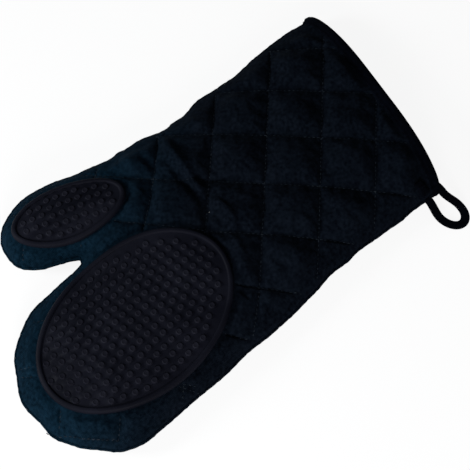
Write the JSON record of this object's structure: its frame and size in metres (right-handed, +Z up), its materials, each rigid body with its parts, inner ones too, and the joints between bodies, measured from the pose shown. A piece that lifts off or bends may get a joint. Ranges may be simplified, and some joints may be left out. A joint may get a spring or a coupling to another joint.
{
  "type": "oven mitt",
  "caption": "Quilted cotton oven mitt with moulded oval silicone grip pads on palm and thumb, a bound cuff and a small hanging loop of tape.",
  "frame": {"origin": "bottom centre of the bounding box, on the surface that the back of the mitt lies on", "axes": "+X across the hand towards the thumb, +Y from the cuff to the fingertips, +Z up out of the palm"},
  "size_m": [0.213, 0.3372, 0.0293],
  "materials": {
    "black_cotton": "matt woven cotton, quilted",
    "wadding": "needled fibre",
    "lining_cotton": "matt woven cotton",
    "silicone": "matt moulded silicone",
    "binding_tape": "matt woven cotton tape",
    "thread": "sewing thread"
  },
  "bodies": {
    "mitt": {"palm_cover": "black_cotton", "palm_wadding": "wadding", "palm_lining": "lining_cotton", "back_cover": "black_cotton", "back_wadding": "wadding", "back_lining": "lining_cotton", "palm_pad": "silicone", "thumb_pad": "silicone", "cuff_binding": "binding_tape", "loop_end_tab": "binding_tape", "loop_bar_tack": "thread"},
    "loop": {"hanging_loop": "binding_tape"}
  },
  "joints": [
    {"name": "loop_swing", "type": "hinge", "parent": "mitt", "child": "loop", "pos_m": [-0.0791, -0.1303, 0.01], "axis": [0, 1, 0], "range_deg": [-70, 100]}
  ]
}
